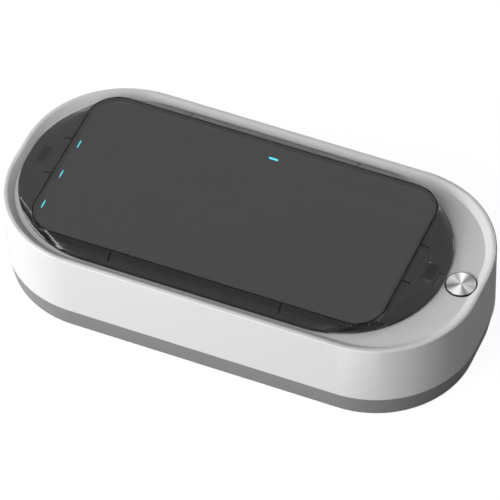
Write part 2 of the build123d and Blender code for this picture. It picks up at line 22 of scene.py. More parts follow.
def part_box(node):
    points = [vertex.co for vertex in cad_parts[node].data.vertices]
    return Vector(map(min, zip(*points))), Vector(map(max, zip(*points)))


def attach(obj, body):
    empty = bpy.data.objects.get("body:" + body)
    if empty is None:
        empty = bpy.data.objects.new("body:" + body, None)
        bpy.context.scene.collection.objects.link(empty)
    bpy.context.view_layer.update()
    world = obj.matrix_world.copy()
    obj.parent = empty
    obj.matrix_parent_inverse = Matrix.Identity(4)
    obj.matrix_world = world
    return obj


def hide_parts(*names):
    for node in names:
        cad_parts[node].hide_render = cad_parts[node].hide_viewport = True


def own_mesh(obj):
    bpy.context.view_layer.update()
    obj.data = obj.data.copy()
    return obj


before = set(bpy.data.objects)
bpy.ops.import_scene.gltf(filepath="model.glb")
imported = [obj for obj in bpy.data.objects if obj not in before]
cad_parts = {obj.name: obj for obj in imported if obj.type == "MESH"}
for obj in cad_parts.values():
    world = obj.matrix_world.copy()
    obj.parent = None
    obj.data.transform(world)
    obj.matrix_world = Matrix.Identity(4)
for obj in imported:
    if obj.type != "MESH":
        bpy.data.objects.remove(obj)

logging.basicConfig(level=logging.INFO, format="%(name)s: %(message)s")
LOG = logging.getLogger("sanitizer_box")

MM = 0.001
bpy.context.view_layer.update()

# Corners nearer than this are merged, and faces that meet flatter than this become one.
MERGE_MM = 0.002
FLAT_DEG = 0.05

# Grain is noise with three finer layers over the first, each about half as strong as the last.
GRAIN_LAYERS = 3.0
GRAIN_FALLOFF = 0.55

# A wave texture comes round again in this much of its own units.
WAVE_REPEAT = math.tau / 20

# Sockets of a mix node when it mixes colours.
MIX_FACTOR, MIX_A, MIX_B, MIX_RESULT = 0, 6, 7, 2

# UV map of a turned disc: angle in radians across, radius in mm up.
RING_UV = "ring"

Colour = tuple[float, float, float, float]
Point = tuple[float, float, float]
Inputs = dict[str | int, Any]
NodeOwner = bpy.types.Material | bpy.types.World

WHITE: Colour = (1.0, 1.0, 1.0, 1.0)


def linear(hex_code: str) -> Colour:
    """Turn an sRGB hex colour into Blender's linear colour.

    Args:
        hex_code: a hash and six hex digits.

    Returns:
        Linear red, green and blue, and full alpha.
    """
    digits = hex_code.lstrip("#")
    channels = [int(digits[i : i + 2], 16) / 255 for i in (0, 2, 4)]
    # The sRGB curve has a straight foot below a power of 2.4.
    red, green, blue = (
        c / 12.92 if c <= 0.04045 else ((c + 0.055) / 1.055) ** 2.4 for c in channels
    )
    return red, green, blue, 1.0


def per_metre(size_mm: float) -> float:
    """Texture scale at which one pattern cell measures size_mm on Object coordinates."""
    return 1 / (size_mm * MM)


def direction(azimuth_deg: float, elevation_deg: float) -> Vector:
    """Point from the box to a place in the studio.

    Args:
        azimuth_deg: side of the box, 0 for +X and -90 for the front.
        elevation_deg: height above the floor, as an angle.

    Returns:
        A vector of length 1.
    """
    azimuth, elevation = math.radians(azimuth_deg), math.radians(elevation_deg)
    return Vector(
        (
            math.cos(azimuth) * math.cos(elevation),
            math.sin(azimuth) * math.cos(elevation),
            math.sin(elevation),
        )
    )


def blank(owner: NodeOwner) -> None:
    """Turn on the nodes of a material or world, with none in it yet."""
    owner.use_nodes = True
    owner.node_tree.nodes.clear()


def node(
    owner: NodeOwner,
    kind: str,
    links: Inputs | None = None,
    inputs: Inputs | None = None,
    **settings: Any,
) -> bpy.types.Node:
    """Add one shader node, set it up and link its inputs.

    Args:
        owner: the material or world that gets the node.
        kind: the node's Blender type.
        links: input name or number to the output socket that feeds it.
        inputs: input name or number to a constant.
        settings: attributes of the node itself.

    Returns:
        The new node.
    """
    tree = owner.node_tree
    new = tree.nodes.new(kind)
    for name, value in settings.items():
        setattr(new, name, value)
    for name, value in (inputs or {}).items():
        new.inputs[name].default_value = value
    for name, source in (links or {}).items():
        tree.links.new(source, new.inputs[name])
    return new


def grained(
    material: bpy.types.Material, size_mm: float, depth_mm: float, smooth: float, rough: float
) -> Inputs:
    """Give a surface its grain: fine height, and roughness that strays with it.

    Args:
        material: the material that gets the nodes.
        size_mm: width of the grain.
        depth_mm: height of the grain.
        smooth: lowest roughness.
        rough: highest roughness.

    Returns:
        The shader's Roughness and Normal inputs, each with the socket that feeds it.
    """
    grain = node(
        material,
        "ShaderNodeTexNoise",
        {"Vector": node(material, "ShaderNodeTexCoord").outputs["Object"]},
        {"Scale": per_metre(size_mm), "Detail": GRAIN_LAYERS, "Roughness": GRAIN_FALLOFF},
    )
    spread = node(
        material,
        "ShaderNodeMapRange",
        {"Value": grain.outputs["Fac"]},
        {"To Min": smooth, "To Max": rough},
    )
    bump = node(
        material,
        "ShaderNodeBump",
        {"Height": grain.outputs["Fac"]},
        {"Strength": 1.0, "Distance": depth_mm * MM},
    )
    return {"Roughness": spread.outputs["Result"], "Normal": bump.outputs["Normal"]}


class Side(Enum):
    """The chamber's four walls."""

    LEFT = "left"
    RIGHT = "right"
    FRONT = "front"
    REAR = "rear"


@dataclass(frozen=True)
class Finish:
    """An opaque surface: one colour, a fine grain and a mottle of roughness.

    Attributes:
        name: what the material is and how its surface was made.
        colour: sRGB hex of the base colour.
        roughness: middle roughness.
        grain_mm: width of the surface grain as drawn.
        grain_depth_mm: height of the grain in the bump.
        mottle: how far the roughness strays from its middle.
        slot: name of the slot for this finish's pieces; not used.
        metallic: 1 on bare metal, 0 elsewhere.
        ior: index of refraction, or None on metals, which keep the shader's own.
        specular: share of the mirror gloss that the surface keeps, 0.5 for all of it.
    """

    name: str
    colour: str
    roughness: float
    grain_mm: float
    grain_depth_mm: float
    mottle: float
    slot: str
    metallic: float = 0.0
    ior: float | None = None
    specular: float = 0.5

    def build(self) -> bpy.types.Material:
        """Make the finish's material.

        Returns:
            The material, ready for a slot.
        """
        material = bpy.data.materials.new(self.name)
        blank(material)
        surface = grained(
            material,
            self.grain_mm,
            self.grain_depth_mm,
            self.roughness - self.mottle,
            self.roughness + self.mottle,
        )
        shader = node(
            material,
            "ShaderNodeBsdfPrincipled",
            surface,
            {
                "Base Color": linear(self.colour),
                "Metallic": self.metallic,
                "Specular IOR Level": self.specular,
            },
        )
        if self.ior is not None:
            shader.inputs["IOR"].default_value = self.ior
        node(material, "ShaderNodeOutputMaterial", {"Surface": shader.outputs["BSDF"]})
        return material


@dataclass(frozen=True)
class PaintedGlintFan:
    """Evenly spaced light rays on a spun face.

    Attributes:
        rays: how many rays go round.
        strength: how much the painted glints brighten and darken the face's colour.
        angle_deg: angle of one of them, from +X.
    """

    rays: int
    strength: float
    angle_deg: float


@dataclass(frozen=True)
class SpunMetal:
    """Aluminium faced on a lathe: its rings stretch glints, and painted glints fan from the centre.

    Attributes:
        name: what the material is and how its surface was made.
        colour: sRGB hex of the metal.
        roughness: roughness across the rings.
        anisotropy: how far the rings stretch the glints.
        stretch_turn: turn of that stretch, where 0.25 lays it across the rings.
        ring_mm: spacing of the tool marks, drawn coarser than the real 0.05 mm so that they show.
        ring_depth_mm: height of a tool mark in the bump.
        middle_level: brightness of the face's colour between the painted light and dark rays.
        rim_shade_mm: width of the painted shade of the gap round the edge, and of its soft border.
        rim_shade_level: brightness of the colour under that painted shade.
        painted_glint_fans: the sets of painted glint rays, which add up.
        slot: name of the slot for this finish's pieces; not used.
    """

    name: str
    colour: str = "#f4f4f5"
    roughness: float = 0.24
    anisotropy: float = 0.85
    stretch_turn: float = 0.25
    ring_mm: float = 0.4
    ring_depth_mm: float = 0.002
    middle_level: float = 0.52
    # Painted shade of the gap round the cap: its edge is darkened in the colour.
    rim_shade_mm: float = 0.12
    rim_shade_level: float = 0.12
    # Painted glints: each fan paints light and dark rays into the colour, where lamps would glint.
    painted_glint_fans: tuple[PaintedGlintFan, ...] = (
        PaintedGlintFan(rays=2, strength=0.14, angle_deg=110),
        PaintedGlintFan(rays=3, strength=0.12, angle_deg=10),
        PaintedGlintFan(rays=4, strength=0.16, angle_deg=90),
        PaintedGlintFan(rays=5, strength=0.10, angle_deg=36),
        PaintedGlintFan(rays=6, strength=0.09, angle_deg=37),
        PaintedGlintFan(rays=8, strength=0.06, angle_deg=16),
    )
    slot: str = "spun_aluminium"

    def build(self, centre: Point, radius_mm: float) -> bpy.types.Material:
        """Make the spun metal for one disc that has ring coordinates.

        Args:
            centre: the disc's centre, in metres.
            radius_mm: the disc's radius.

        Returns:
            The material.
        """
        material = bpy.data.materials.new(self.name)
        blank(material)
        ring = node(
            material,
            "ShaderNodeSeparateXYZ",
            {"Vector": node(material, "ShaderNodeUVMap", uv_map=RING_UV).outputs["UV"]},
        )
        # The painted glints, times the painted rim shade, scale the metal's colour.
        level = node(
            material,
            "ShaderNodeMath",
            {
                0: self.painted_glints(material, ring.outputs["X"]),
                1: self.painted_rim_shade(material, ring.outputs["Y"], radius_mm),
            },
            operation="MULTIPLY",
        )
        tint = node(
            material,
            "ShaderNodeVectorMath",
            {"Scale": level.outputs[0]},
            {0: linear(self.colour)[:3]},
            operation="SCALE",
        )
        tangent = node(material, "ShaderNodeTangent", direction_type="UV_MAP", uv_map=RING_UV)
        shader = node(
            material,
            "ShaderNodeBsdfPrincipled",
            {
                "Base Color": tint.outputs["Vector"],
                "Normal": self.turned(material, centre),
                "Tangent": tangent.outputs["Tangent"],
            },
            {
                "Metallic": 1.0,
                "Roughness": self.roughness,
                "Anisotropic": self.anisotropy,
                "Anisotropic Rotation": self.stretch_turn,
            },
        )
        node(material, "ShaderNodeOutputMaterial", {"Surface": shader.outputs["BSDF"]})
        return material

    def turned(self, material: bpy.types.Material, centre: Point) -> bpy.types.NodeSocket:
        """Cut the tool's rings into the face.

        Args:
            material: the material that gets the nodes.
            centre: the disc's centre, in metres.

        Returns:
            The bumped normal.
        """
        local = node(
            material,
            "ShaderNodeMapping",
            {"Vector": node(material, "ShaderNodeTexCoord").outputs["Object"]},
            {"Location": tuple(-c for c in centre)},
            vector_type="POINT",
        )
        rings = node(
            material,
            "ShaderNodeTexWave",
            {"Vector": local.outputs["Vector"]},
            {"Scale": per_metre(self.ring_mm) * WAVE_REPEAT, "Distortion": 0.0},
            wave_type="RINGS",
            rings_direction="Z",
        )
        bump = node(
            material,
            "ShaderNodeBump",
            {"Height": rings.outputs["Fac"]},
            {"Distance": self.ring_depth_mm * MM},
        )
        return bump.outputs["Normal"]

    def painted_rim_shade(
        self, material: bpy.types.Material, radius: bpy.types.NodeSocket, radius_mm: float
    ) -> bpy.types.NodeSocket:
        """Paint the shade of the gap round the disc's edge into its colour.

        Args:
            material: the material that gets the nodes.
            radius: distance from the centre, in mm.
            radius_mm: the disc's radius.

        Returns:
            Brightness at that distance: 1 on the face, less under the painted shade at the edge.
        """
        edge = node(
            material,
            "ShaderNodeMapRange",
            {"Value": radius},
            {
                "From Min": radius_mm - 2 * self.rim_shade_mm,
                "From Max": radius_mm - self.rim_shade_mm,
                "To Min": 1.0,
                "To Max": self.rim_shade_level,
            },
        )
        return edge.outputs["Result"]

    def painted_glints(
        self, material: bpy.types.Material, angle: bpy.types.NodeSocket
    ) -> bpy.types.NodeSocket:
        """Add up the painted glint fans round the disc.

        Args:
            material: the material that gets the nodes.
            angle: angle round the disc, in radians.

        Returns:
            Brightness that the painted glints give the colour at that angle.
        """
        level: bpy.types.NodeSocket | None = None
        for fan in self.painted_glint_fans:
            turned = node(
                material,
                "ShaderNodeMath",
                {0: angle},
                {1: fan.rays, 2: -fan.rays * math.radians(fan.angle_deg)},
                operation="MULTIPLY_ADD",
            )
            wave = node(material, "ShaderNodeMath", {0: turned.outputs[0]}, operation="COSINE")
            # The first fan starts from the middle level, and each later one from the sum so far.
            level = node(
                material,
                "ShaderNodeMath",
                {0: wave.outputs[0], 2: level} if level else {0: wave.outputs[0]},
                {1: fan.strength, 2: self.middle_level},
                operation="MULTIPLY_ADD",
            ).outputs[0]
        return level


@dataclass(frozen=True)
class SmokyAcrylic:
    """Smoke-tinted cast acrylic, polished: dark, glossy and see-through.

    Attributes:
        name: what the material is and how its surface was made.
        tint: sRGB hex of what one wall lets through.
        polish: lowest roughness.
        smear: highest roughness, where the polish is worn.
        wave_mm: width of the sheet's faint waves, drawn at its real size.
        wave_depth_mm: their height.
        ior: index of refraction of acrylic.
        slot: name of the slot for this finish's pieces; not used.
    """

    name: str
    tint: str = "#7c7d80"
    polish: float = 0.015
    smear: float = 0.045
    wave_mm: float = 9.0
    wave_depth_mm: float = 0.006
    ior: float = 1.49
    slot: str = "smoky_acrylic"

    def build(self) -> bpy.types.Material:
        """Make the tinted acrylic.

        Returns:
            The material, which lamps shine through and the camera sees as tinted glass.
        """
        material = bpy.data.materials.new(self.name)
        blank(material)
        glass = node(
            material,
            "ShaderNodeBsdfPrincipled",
            grained(material, self.wave_mm, self.wave_depth_mm, self.polish, self.smear),
            {"Base Color": linear(self.tint), "IOR": self.ior, "Transmission Weight": 1.0},
        )
        clear = node(material, "ShaderNodeBsdfTransparent", inputs={"Color": linear(self.tint)})
        # Light on its way to the chamber passes straight through, so that the lid throws a grey
        # shade there and not the black one or the bright specks of traced glass.
        path = node(material, "ShaderNodeLightPath")
        light = node(
            material,
            "ShaderNodeMath",
            {0: path.outputs["Is Shadow Ray"], 1: path.outputs["Is Diffuse Ray"]},
            operation="MAXIMUM",
        )
        either = node(
            material,
            "ShaderNodeMixShader",
            {0: light.outputs[0], 1: glass.outputs["BSDF"], 2: clear.outputs["BSDF"]},
        )
        node(material, "ShaderNodeOutputMaterial", {"Surface": either.outputs["Shader"]})
        return material


@dataclass(frozen=True)
class LampGlow:
    """Fused quartz in front of a lit ultraviolet lamp: a small window with a cold glow.

    Attributes:
        name: what the material is and how its surface was made.
        colour: sRGB hex of the quartz in that light.
        glow: sRGB hex of the visible part of the lamp's light.
        strength: brightness of the glow.
        polish: lowest roughness.
        smear: highest roughness.
        grain_mm: width of the drawn surface's grain, coarser than the real 0.1 mm so that it shows.
        grain_depth_mm: height of the grain in the bump.
        ior: index of refraction of fused quartz.
        slot: name of the slot for this finish's pieces; not used.
    """

    name: str
    colour: str = "#9fe6ee"
    glow: str = "#46d4e6"
    strength: float = 7.0
    polish: float = 0.10
    smear: float = 0.16
    grain_mm: float = 0.5
    grain_depth_mm: float = 0.002
    ior: float = 1.46
    slot: str = "lamp_glass"

    def build(self) -> bpy.types.Material:
        """Make the glowing quartz.

        Returns:
            The material.
        """
        material = bpy.data.materials.new(self.name)
        blank(material)
        shader = node(
            material,
            "ShaderNodeBsdfPrincipled",
            grained(material, self.grain_mm, self.grain_depth_mm, self.polish, self.smear),
            {
                "Base Color": linear(self.colour),
                "IOR": self.ior,
                "Emission Color": linear(self.glow),
                "Emission Strength": self.strength,
            },
        )
        node(material, "ShaderNodeOutputMaterial", {"Surface": shader.outputs["BSDF"]})
        return material


AnyFinish = Finish | SmokyAcrylic | LampGlow

# Finishes, one for each material of the box. A grain that is too fine to show is drawn coarser,
# and the comment then gives its real size.

# Satin white: broad soft highlights, and no mirror image of the room. Real grain 0.1 mm.
WHITE_ABS = Finish(
    "white ABS, satin moulded", "#f2f2f2", roughness=0.33, ior=1.53, grain_mm=0.8,
    grain_depth_mm=0.004, mottle=0.03, slot="white_shell",
)

# Flat mid grey, dry beside the satin band, with no highlight of its own. Real grain 0.15 mm.
GREY_ABS = Finish(
    "grey ABS, spark textured", "#969697", roughness=0.55, ior=1.53, grain_mm=0.45,
    grain_depth_mm=0.012, mottle=0.05, specular=0.25, slot="grey_base",
)

# Deep glossy black: walls mirror the lamps' glow in dark streaks, bent a little by flow marks
# that are drawn at their size.
TUB_PLASTIC = Finish(
    "black polycarbonate, polished", "#1b1b1d", roughness=0.16, ior=1.58, grain_mm=1.2,
    grain_depth_mm=0.003, mottle=0.03, slot="tub_plastic",
)

# Soft matt black that swallows highlights, so the grooves read only as shade. Real grain 0.1 mm.
SILICONE = Finish(
    "black silicone mat, moulded", "#202123", roughness=0.62, ior=1.41, grain_mm=0.5,
    grain_depth_mm=0.003, mottle=0.06, slot="mat_rubber",
)

# The dullest black of all, chalky where light grazes it. Real grain 0.1 mm.
FOOT_RUBBER = Finish(
    "black rubber, moulded", "#19191a", roughness=0.75, ior=1.52, grain_mm=0.4,
    grain_depth_mm=0.02, mottle=0.06, slot="foot_rubber",
)

# A thin line that stays black from every side. The black is the rubber's own; its gloss is turned
# almost off as painted shade of the deep crease that it lies in. Real grain 0.05 mm.
SEAL_RUBBER = Finish(
    "black seal, extruded", "#070707", roughness=0.5, ior=1.52, grain_mm=0.3,
    grain_depth_mm=0.004, mottle=0.04, specular=0.08, slot="seal_rubber",
)

# Blue-grey metal with a soft, slightly blotched sheen. Real crystals 0.05 mm.
ZINC_STEEL = Finish(
    "zinc plated steel, rolled", "#a9abae", roughness=0.34, metallic=1.0, grain_mm=0.25,
    grain_depth_mm=0.004, mottle=0.06, slot="screw_steel",
)

# Grey wire with one bright line along each turn. Real die marks 0.02 mm.
SPRING_STEEL = Finish(
    "spring steel, drawn", "#9b9da0", roughness=0.3, metallic=1.0, grain_mm=0.2,
    grain_depth_mm=0.003, mottle=0.05, slot="spring_steel",
)

# Pale bright metal, a little blurred where the press drew it. Real grain 0.03 mm.
SOCKET_STEEL = Finish(
    "stainless steel, deep drawn", "#b9bbbe", roughness=0.28, metallic=1.0, grain_mm=0.3,
    grain_depth_mm=0.003, mottle=0.05, slot="socket_steel",
)

# Warm grey plating with a clear but darkened mirror image. Real pits 0.05 mm.
NICKEL = Finish(
    "nickel plated magnet", "#8f8d88", roughness=0.22, metallic=1.0, grain_mm=0.3,
    grain_depth_mm=0.003, mottle=0.05, slot="magnet_nickel",
)

# Orange metal under clear enamel, with warm highlights. Its runs are drawn at their size.
COPPER = Finish(
    "enamelled copper wire", "#c9713d", roughness=0.3, metallic=1.0, grain_mm=0.6,
    grain_depth_mm=0.006, mottle=0.06, slot="winding_copper",
)

# Dry, dark and stony, with hardly any sheen. Real grains 0.02 mm.
FERRITE = Finish(
    "sintered ferrite", "#2c2c2e", roughness=0.7, ior=1.9, grain_mm=0.3, grain_depth_mm=0.01,
    mottle=0.08, slot="ferrite",
)

# Green lacquer with a satin sheen, uneven where glass threads lie under it. Real threads 0.6 mm.
LAMINATE = Finish(
    "glass laminate, green solder mask", "#12663a", roughness=0.38, ior=1.55, grain_mm=0.9,
    grain_depth_mm=0.008, mottle=0.08, slot="board_laminate",
)

# Flat charcoal of a chip's body, faintly sandy. Real filler 0.05 mm.
EPOXY = Finish(
    "moulded epoxy", "#1d1d1e", roughness=0.55, ior=1.55, grain_mm=0.2, grain_depth_mm=0.006,
    mottle=0.05, slot="chip_epoxy",
)

# Off-white and dry, with a fine sheen like unglazed china. Real grain 0.02 mm.
CERAMIC = Finish(
    "fired ceramic", "#e4e2d6", roughness=0.45, ior=1.77, grain_mm=0.2, grain_depth_mm=0.004,
    mottle=0.05, slot="lamp_ceramic",
)

# Near-black satin that sets off the bright metal beside it. Real grain 0.1 mm.
DARK_TRIM = Finish(
    "black ABS, satin", "#151516", roughness=0.38, ior=1.53, grain_mm=0.3, grain_depth_mm=0.005,
    mottle=0.05, slot="dark_trim",
)

# Milky white with a waxy, slippery sheen. Real grain 0.1 mm.
ACETAL = Finish(
    "white acetal, moulded", "#e6e6e2", roughness=0.42, ior=1.48, grain_mm=0.5,
    grain_depth_mm=0.004, mottle=0.05, slot="stem_plastic",
)

# A short cyan streak that shines through the dark lid.
QUARTZ = LampGlow("fused quartz, lamp lit")

# A dark pane with sharp highlights, through which the chamber shows faintly.
SMOKE = SmokyAcrylic("smoke acrylic, polished")

# A bright disc, with light and dark glint rays and a thin edge shade all painted in.
SPUN = SpunMetal("aluminium, spun face")


class Workshop:
    """Helpers that take a CAD node to a finished piece."""

    def __init__(self) -> None:
        """Keep one material for each finish."""
        self.made: dict[str, bpy.types.Material] = {}

    def material(self, finish: AnyFinish) -> bpy.types.Material:
        """Hand out the material of a finish, made once.

        Args:
            finish: the finish wanted.

        Returns:
            Its material.
        """
        if finish.name not in self.made:
            self.made[finish.name] = finish.build()
        return self.made[finish.name]

    def paint(self, piece: bpy.types.Object, material: bpy.types.Material) -> None:
        """Give a piece one material.

        Args:
            piece: the object.
            material: its material.
        """
        if not piece.material_slots:
            piece.data.materials.append(material)
        for slot in piece.material_slots:
            slot.material = material

    def dress(self, node_name: str, finish: AnyFinish) -> None:
        """Give a CAD node, as it stands, its finish.

        Args:
            node_name: the CAD node.
            finish: its finish.
        """
        self.paint(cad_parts[node_name], self.material(finish))
        LOG.info("%s: %s", node_name, finish.name)

    def rework(
        self, node_name: str, body: str, finish: AnyFinish, smooth_deg: float
    ) -> bpy.types.Object:
        """Replace a CAD node by a merged copy with smooth shading.

        Args:
            node_name: the CAD node.
            body: the body that it rides on.
            finish: its finish.
            smooth_deg: edges flatter than this are shaded smooth.

        Returns:
            The new piece.
        """
        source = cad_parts[node_name]
        # The CAD mesh is loose triangles, and shades smoothly only once their corners are merged.
        piece = bpy.data.objects.new(f"{node_name}_finished", source.data.copy())
        bpy.context.scene.collection.objects.link(piece)
        piece.data.materials.clear()
        self.select(piece)
        bpy.ops.object.mode_set(mode="EDIT")
        bpy.ops.mesh.select_all(action="SELECT")
        bpy.ops.mesh.remove_doubles(threshold=MERGE_MM * MM)
        bpy.ops.mesh.customdata_custom_splitnormals_clear()
        bpy.ops.mesh.dissolve_limited(angle_limit=math.radians(FLAT_DEG))
        bpy.ops.object.mode_set(mode="OBJECT")
        bpy.ops.object.shade_smooth_by_angle(angle=math.radians(smooth_deg))
        self.paint(piece, self.material(finish))
        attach(piece, body)
        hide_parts(node_name)
        LOG.info("%s reworked: %s", node_name, finish.name)
        return piece

    @staticmethod
    def select(piece: bpy.types.Object) -> None:
        """Deselect everything, then select one piece and make it active.

        Args:
            piece: the piece.
        """
        bpy.ops.object.select_all(action="DESELECT")
        piece.select_set(True)
        bpy.context.view_layer.objects.active = piece


@dataclass
class Body:
    """White band over the grey base, with its feet, screws and inlet.

    Attributes:
        smooth_deg: shell edges flatter than this are shaded smooth, and the rest stay crisp.
    """

    smooth_deg: float = 30.0

    def build(self, shop: Workshop) -> None:
        """Finish the body's pieces.

        Args:
            shop: the workshop that finishes them.
        """
        shop.rework("upper_shell", "root", WHITE_ABS, self.smooth_deg)
        shop.rework("base_shell", "root", GREY_ABS, self.smooth_deg)
        shop.dress("rubber_feet", FOOT_RUBBER)
        shop.dress("shell_screws", ZINC_STEEL)
        shop.dress("usb_socket", SOCKET_STEEL)
        shop.dress("usb_tongue", DARK_TRIM)


@dataclass
class Chamber:
    """Dark tub with its mat, lamps and charging coil.

    Attributes:
        smooth_deg: tub edges flatter than this are shaded smooth.
    """

    smooth_deg: float = 30.0

    def build(self, shop: Workshop) -> None:
        """Finish the chamber's pieces.

        Args:
            shop: the workshop that finishes them.
        """
        shop.rework("chamber_tray", "root", TUB_PLASTIC, self.smooth_deg)
        shop.dress("charging_mat", SILICONE)
        for side in Side:
            shop.dress(f"lamp_windows_{side.value}", QUARTZ)
            shop.dress(f"uv_lamps_{side.value}", CERAMIC)
            shop.dress(f"lamp_board_{side.value}", LAMINATE)
        shop.dress("charging_coil", COPPER)
        shop.dress("ferrite_plate", FERRITE)


@dataclass
class Electronics:
    """Boards and what stands on them.

    Attributes:
        boards: the nodes of green laminate.
        chips: the nodes of moulded epoxy.
        magnet_sides: the ends of the deck that hold a magnet.
    """

    boards: tuple[str, ...] = ("charger_board", "control_board")
    chips: tuple[str, ...] = ("charger_chip", "power_inductor", "lid_sensor", "tact_switch")
    magnet_sides: tuple[Side, ...] = (Side.LEFT, Side.RIGHT)

    def build(self, shop: Workshop) -> None:
        """Finish the boards and their components.

        Args:
            shop: the workshop that finishes them.
        """
        for name in self.boards:
            shop.dress(name, LAMINATE)
        for name in self.chips:
            shop.dress(name, EPOXY)
        shop.dress("board_screws", ZINC_STEEL)
        for side in self.magnet_sides:
            shop.dress(f"deck_magnet_{side.value}", NICKEL)


@dataclass
class StartButton:
    """Spun metal cap with its bezel and what moves below it.

    Attributes:
        cap_sides: sides of the turned cap, enough for a round outline.
        edge_mm: width of the cap's bevelled edge.
        edge_steps: faces across that bevel.
        cap_smooth_deg: cap edges flatter than this are shaded smooth, and the face stays flat.
        spring_smooth_deg: the same for the spring, whose wire has few sides.
    """

    cap_sides: int = 96
    edge_mm: float = 0.5
    edge_steps: int = 3
    cap_smooth_deg: float = 25.0
    spring_smooth_deg: float = 60.0

    def build(self, shop: Workshop) -> None:
        """Finish the button's pieces.

        Args:
            shop: the workshop that finishes them.
        """
        shop.dress("button_bezel", DARK_TRIM)
        shop.dress("button_stem", ACETAL)
        shop.dress("button_clip", SPRING_STEEL)
        shop.dress("switch_plunger", DARK_TRIM)
        self.spring(shop)
        self.cap()

    def spring(self, shop: Workshop) -> None:
        """Smooth the coil spring and give it a mesh of its own.

        Args:
            shop: the workshop that finishes it.
        """
        spring = shop.rework("button_spring", "button", SPRING_STEEL, self.spring_smooth_deg)
        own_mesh(spring)

    def cap(self) -> None:
        """Turn the cap from a disc, with a bevelled edge and ring coordinates for its grain."""
        low, high = (Vector(corner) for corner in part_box("button_cap"))
        middle = (low + high) / 2
        radius = (high.x - low.x) / 2
        bpy.ops.object.select_all(action="DESELECT")
        # Its ends are fans of triangles, so that each face looks to an angle of its own.
        bpy.ops.mesh.primitive_cylinder_add(
            vertices=self.cap_sides,
            radius=radius,
            depth=high.z - low.z,
            end_fill_type="TRIFAN",
            location=middle,
        )
        cap = bpy.context.active_object
        cap.name = "button_cap_spun"
        bpy.ops.object.transform_apply(location=True, rotation=True, scale=True)
        bevel = cap.modifiers.new("edge", "BEVEL")
        bevel.width = self.edge_mm * MM
        bevel.segments = self.edge_steps
        bevel.limit_method = "ANGLE"
        bpy.ops.object.modifier_apply(modifier=bevel.name)
        self.ring_coordinates(cap.data, middle)
        bpy.ops.object.shade_smooth_by_angle(angle=math.radians(self.cap_smooth_deg))
        cap.data.materials.clear()
        cap.data.materials.append(SPUN.build(tuple(middle), radius / MM))
        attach(cap, "button")
        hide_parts("button_cap")
        LOG.info("button_cap turned: %s", SPUN.name)

    @staticmethod
    def ring_coordinates(mesh: bpy.types.Mesh, middle: Vector) -> None:
        """Map a disc by its angle and its radius in mm, with no jump inside a face.

        Args:
            mesh: the disc's mesh.
            middle: its centre.
        """
        rings = mesh.uv_layers.new(name=RING_UV)
        for face in mesh.polygons:
            away = face.center - middle
            facing = math.atan2(away.y, away.x)
            for corner in face.loop_indices:
                point = mesh.vertices[mesh.loops[corner].vertex_index].co - middle
                radius = math.hypot(point.x, point.y)
                angle = facing
                # The centre has no angle of its own, so it takes the one that its face looks to.
                if radius > MERGE_MM * MM:
                    turn = math.atan2(point.y, point.x) - facing
                    angle += math.remainder(turn, math.tau)
                rings.data[corner].uv = (angle, radius / MM)


@dataclass
class Lid:
    """Smoke-tinted lid: sloping skirt, flat window, black seal and magnets.

    Attributes:
        skirt_smooth_deg: skirt edges flatter than this are shaded smooth, and the bevel is crisp.
        window_smooth_deg: the same for the window.
        magnet_sides: the ends of the lid that hold a magnet.
    """

    skirt_smooth_deg: float = 20.0
    window_smooth_deg: float = 30.0
    magnet_sides: tuple[Side, ...] = (Side.LEFT, Side.RIGHT)

    def build(self, shop: Workshop) -> None:
        """Finish the lid's pieces.

        Args:
            shop: the workshop that finishes them.
        """
        shop.rework("lid_frame", "lid", SMOKE, self.skirt_smooth_deg)
        shop.rework("lid_window", "lid", SMOKE, self.window_smooth_deg)
        shop.dress("window_seal", SEAL_RUBBER)
        for side in self.magnet_sides:
            shop.dress(f"lid_magnet_{side.value}", NICKEL)


@dataclass(frozen=True)
class SoftBox:
    """A rectangular studio lamp that faces the box.

    Attributes:
        name: the lamp's name.
        azimuth_deg: side that it stands on, 0 for +X and -90 for the front.
        elevation_deg: height of its centre above the floor, as an angle.
        width_m: its width.
        height_m: its height.
        level: brightness that it gives a white face turned to it, where 1 is white.
        mirrored: whether polished surfaces show it.
        distance_m: how far it stands from the box.
    """

    name: str
    azimuth_deg: float
    elevation_deg: float
    width_m: float
    height_m: float
    level: float
    mirrored: bool = True
    distance_m: float = 1.6

    def place(self) -> None:
        """Hang the lamp where the camera doesn't see it."""
        away = direction(self.azimuth_deg, self.elevation_deg)
        data = bpy.data.lights.new(self.name, "AREA")
        data.shape = "RECTANGLE"
        data.size = self.width_m
        data.size_y = self.height_m
        # A small lamp of (pi x distance) squared watts gives a white face a brightness of 1.
        data.energy = self.level * (math.pi * self.distance_m) ** 2
        lamp = bpy.data.objects.new(self.name, data)
        bpy.context.scene.collection.objects.link(lamp)
        lamp.location = away * self.distance_m
        lamp.visible_camera = False
        lamp.visible_glossy = self.mirrored
        lamp.rotation_euler = (-away).to_track_quat("-Z", "Y").to_euler()
        LOG.info("lamp: %s", self.name)


# Two low panels light the white band and leave the deck a soft grey.
LEFT_PANEL = SoftBox(
    "left_softbox", azimuth_deg=-168, elevation_deg=17, width_m=1.3, height_m=0.5, level=0.53
)
FRONT_PANEL = SoftBox(
    "front_softbox", azimuth_deg=-112, elevation_deg=19, width_m=1.3, height_m=0.5, level=0.53
)
# Two fills lift the lip's slopes and the deck, and leave no image in the lid.
FRONT_FILL = SoftBox(
    "front_fill", azimuth_deg=-110, elevation_deg=38, width_m=1.2, height_m=0.6, level=0.25,
    mirrored=False,
)
TOP_FILL = SoftBox(
    "top_fill", azimuth_deg=-110, elevation_deg=62, width_m=1.0, height_m=1.0, level=0.04,
    mirrored=False,
)
# A dim panel opposite the camera gives level faces, such as the lid's window, their sheen.
REAR_PANEL = SoftBox(
    "rear_panel", azimuth_deg=114, elevation_deg=48.5, width_m=0.75, height_m=1.2, level=0.052
)
# A low, narrow lamp keeps the right end from going dark.
KICKER = SoftBox(
    "kicker", azimuth_deg=60, elevation_deg=6, width_m=0.25, height_m=0.6, level=0.04
)


